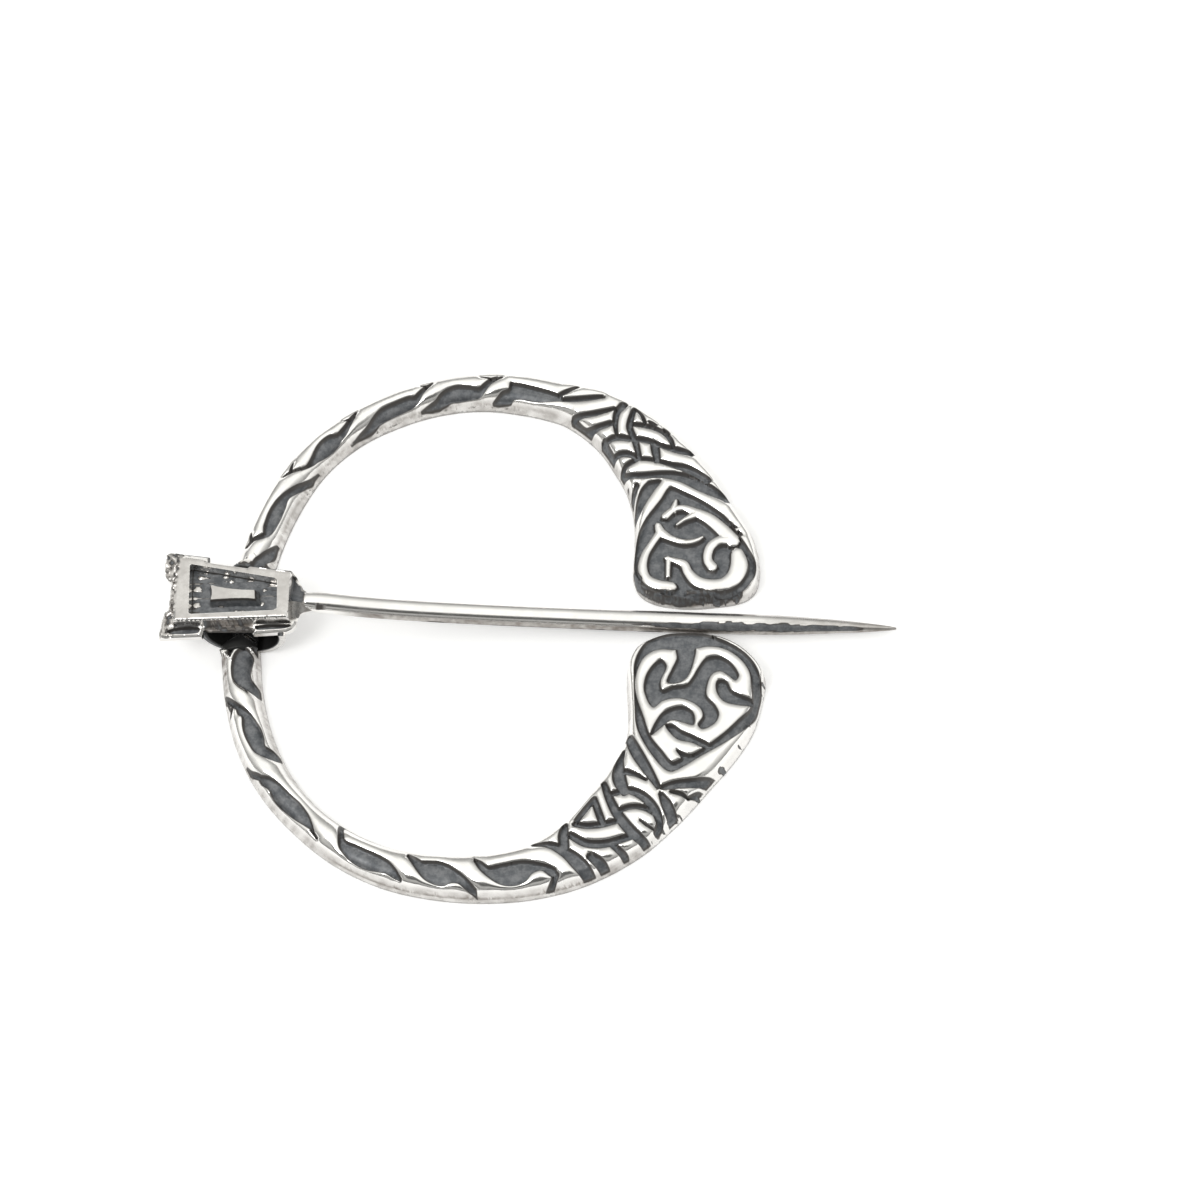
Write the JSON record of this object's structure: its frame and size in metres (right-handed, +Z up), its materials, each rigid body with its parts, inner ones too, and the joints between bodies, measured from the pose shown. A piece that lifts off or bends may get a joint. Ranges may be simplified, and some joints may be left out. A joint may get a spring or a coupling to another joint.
{
  "type": "penannular brooch",
  "caption": "Cast silver penannular brooch with a twisted band, knotwork and spiral terminals, and a long pin with a tapered head.",
  "frame": {"origin": "bottom centre of the whole brooch's bounding box, on the surface that it lies on", "axes": "+X along the pin to its tip, +Y across towards the upper terminal, +Z up out of the face"},
  "size_m": [0.0504, 0.0398, 0.0045],
  "materials": {
    "hoop_silver": "polished high parts, blackened hollows",
    "pin_silver": "polished shank, satin head with a blackened panel"
  },
  "bodies": {
    "hoop": {"hoop": "hoop_silver"},
    "pin": {"pin": "pin_silver"}
  },
  "joints": [
    {"name": "pin_lift", "type": "hinge", "parent": "hoop", "child": "pin", "pos_m": [-0.01959, 0.00041, 0.0017], "axis": [0, -1, 0], "range_deg": [0, 90]}
  ]
}
